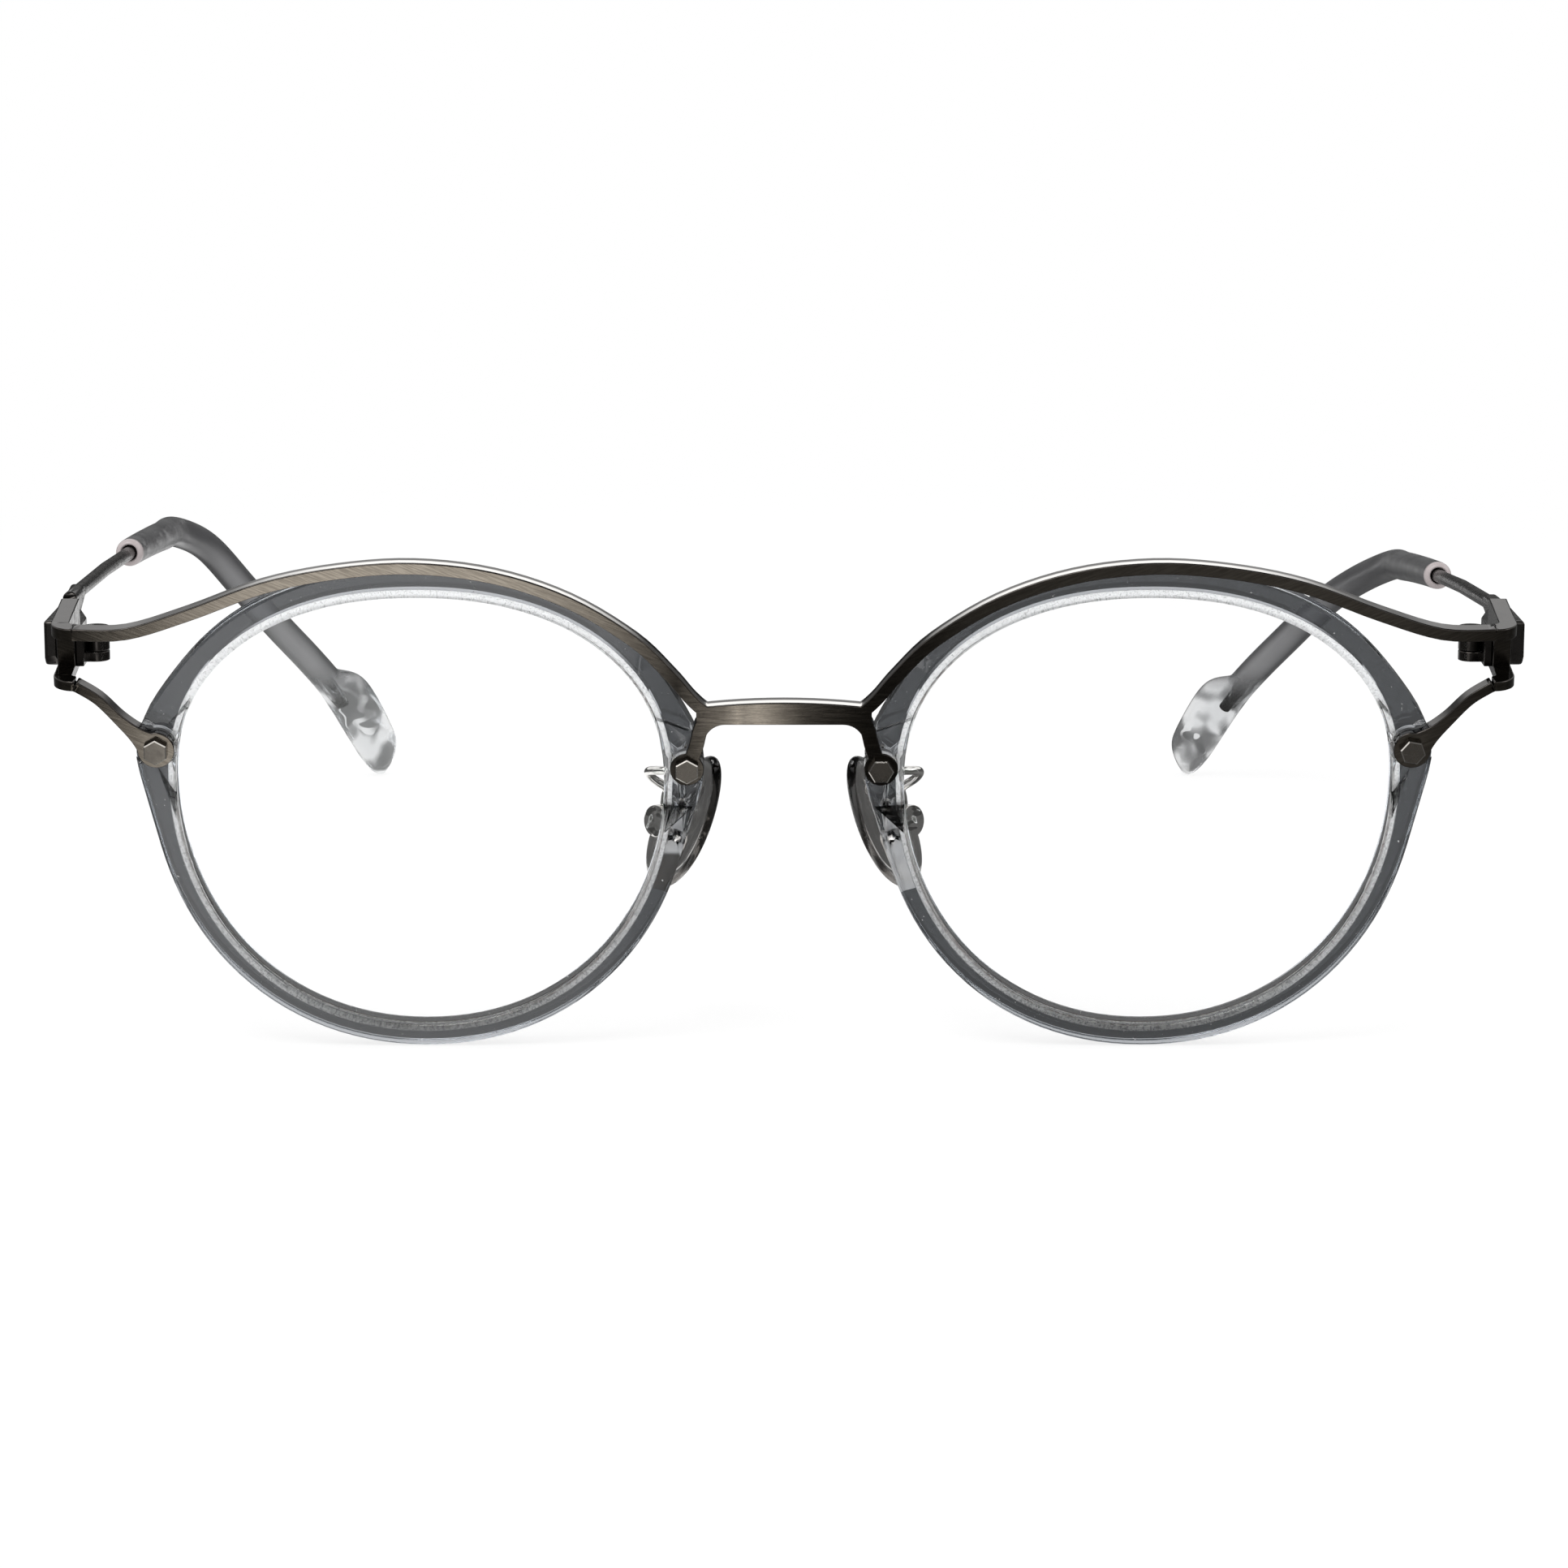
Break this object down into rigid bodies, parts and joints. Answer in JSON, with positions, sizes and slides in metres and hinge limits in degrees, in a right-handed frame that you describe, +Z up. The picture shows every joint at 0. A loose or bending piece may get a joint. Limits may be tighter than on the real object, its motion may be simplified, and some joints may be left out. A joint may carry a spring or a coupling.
{
  "type": "round eyeglasses",
  "caption": "Round eyeglasses: clear smoke-grey acetate rims screwed to a thin gunmetal front, swept ends, wire temples with clear ear tips and adjustable nose pads",
  "frame": {"origin": "middle of the bounding box at the table, under the glasses standing open on their rims and ear tips", "axes": "+X to the side (right as seen from the front), +Y from the front towards the wearer, +Z up"},
  "size_m": [0.1424, 0.1356, 0.0487],
  "materials": {
    "gunmetal": "brushed gunmetal plate with polished edges",
    "polished_steel": "polished",
    "smoky_acetate": "polished see-through acetate, milled lens groove",
    "tip_acetate": "polished see-through acetate",
    "clear_lens": "clear, anti-reflection coated",
    "clear_silicone": "clear, slightly soft"
  },
  "bodies": {
    "front": {"metal_front": "gunmetal", "rim_left": "smoky_acetate", "rim_right": "smoky_acetate", "lens_left": "clear_lens", "lens_right": "clear_lens", "outer_screw_left": "gunmetal", "outer_screw_right": "gunmetal", "nose_screw_left": "gunmetal", "nose_screw_right": "gunmetal", "outer_nut_left": "gunmetal", "outer_nut_right": "gunmetal", "nose_nut_left": "gunmetal", "nose_nut_right": "gunmetal", "front_hinge_left": "gunmetal", "front_hinge_right": "gunmetal", "hinge_screw_left": "polished_steel", "hinge_screw_right": "polished_steel", "pad_foot_left": "gunmetal", "pad_foot_right": "gunmetal", "pad_arm_left": "polished_steel", "pad_arm_right": "polished_steel", "pad_box_left": "polished_steel", "pad_box_right": "polished_steel", "pad_screw_left": "polished_steel", "pad_screw_right": "polished_steel"},
    "left_temple": {"temple_hinge_left": "gunmetal", "temple_left": "gunmetal", "ear_tip_left": "tip_acetate"},
    "right_temple": {"temple_hinge_right": "gunmetal", "temple_right": "gunmetal", "ear_tip_right": "tip_acetate"},
    "left_pad": {"pad_mount_left": "polished_steel", "nose_pad_left": "clear_silicone"},
    "right_pad": {"pad_mount_right": "polished_steel", "nose_pad_right": "clear_silicone"}
  },
  "joints": [
    {"name": "left_temple_hinge", "type": "hinge", "parent": "front", "child": "left_temple", "pos_m": [-0.06545, -0.05741, 0.03905], "axis": [0, 0, -1], "range_deg": [0, 75]},
    {"name": "right_temple_hinge", "type": "hinge", "parent": "front", "child": "right_temple", "pos_m": [0.06545, -0.05741, 0.03905], "axis": [0, 0, 1], "range_deg": [0, 80]},
    {"name": "left_pad_rock", "type": "hinge", "parent": "front", "child": "left_pad", "pos_m": [-0.0118, -0.0547, 0.02109], "axis": [-0.6964, 0.7071, 0.1228], "range_deg": [-8, 8]},
    {"name": "right_pad_rock", "type": "hinge", "parent": "front", "child": "right_pad", "pos_m": [0.0118, -0.0547, 0.02109], "axis": [0.6964, 0.7071, 0.1228], "range_deg": [-8, 8]}
  ]
}
